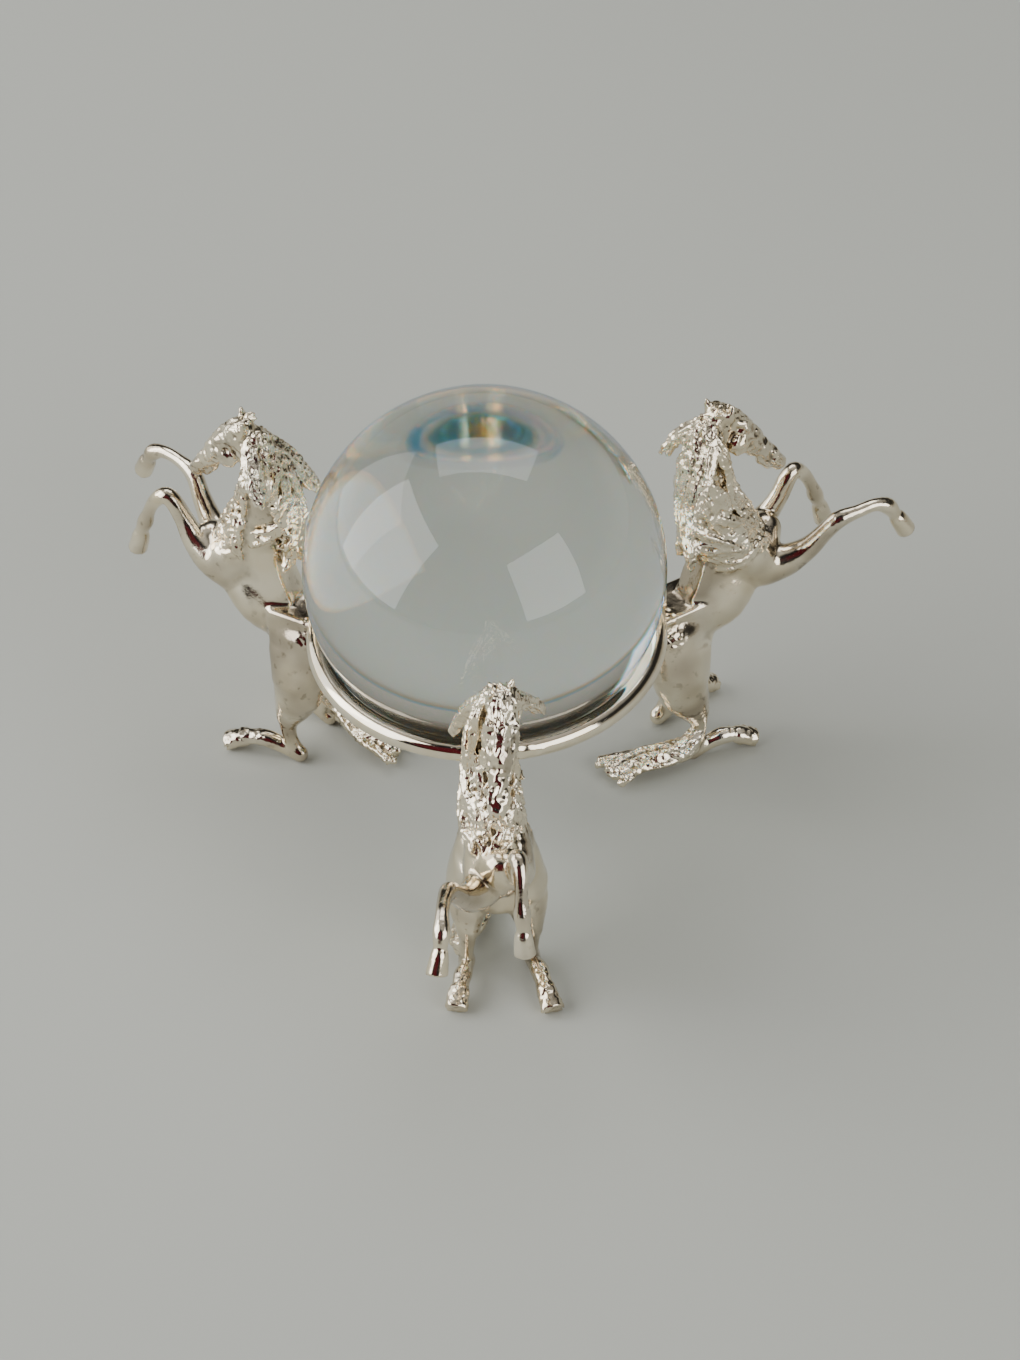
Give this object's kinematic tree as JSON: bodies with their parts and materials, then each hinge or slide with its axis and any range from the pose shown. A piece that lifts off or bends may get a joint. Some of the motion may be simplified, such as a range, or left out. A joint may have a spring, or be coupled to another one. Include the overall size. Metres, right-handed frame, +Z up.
{
  "type": "crystal ball",
  "caption": "Clear crystal ball resting in a round metal rod ring carried by rearing horse castings, as a table stand for scrying, magic and display.",
  "frame": {"origin": "on the table plane, straight under the centre of the ball", "axes": "+Z up through the ball's centre; -Y towards the horse at the front; +X to the right seen from that side"},
  "size_m": [0.1794, 0.1711, 0.114],
  "materials": {
    "crystal": "clear polished crystal glass",
    "plated_rod": "bright silver plate on drawn rod",
    "plated_casting": "bright silver plate over a detailed casting, textured in hair and mane"
  },
  "bodies": {
    "stand": {"ring": "plated_rod", "horse_front": "plated_casting", "horse_left": "plated_casting", "horse_right": "plated_casting", "ring_post_front": "plated_rod", "ring_post_left": "plated_rod", "ring_post_right": "plated_rod"},
    "ball": {"crystal_ball": "crystal"}
  },
  "joints": [
    {"name": "ball_lift", "type": "slide", "parent": "stand", "child": "ball", "axis": [0, 0, 1], "range_m": [0, 0.08]}
  ]
}
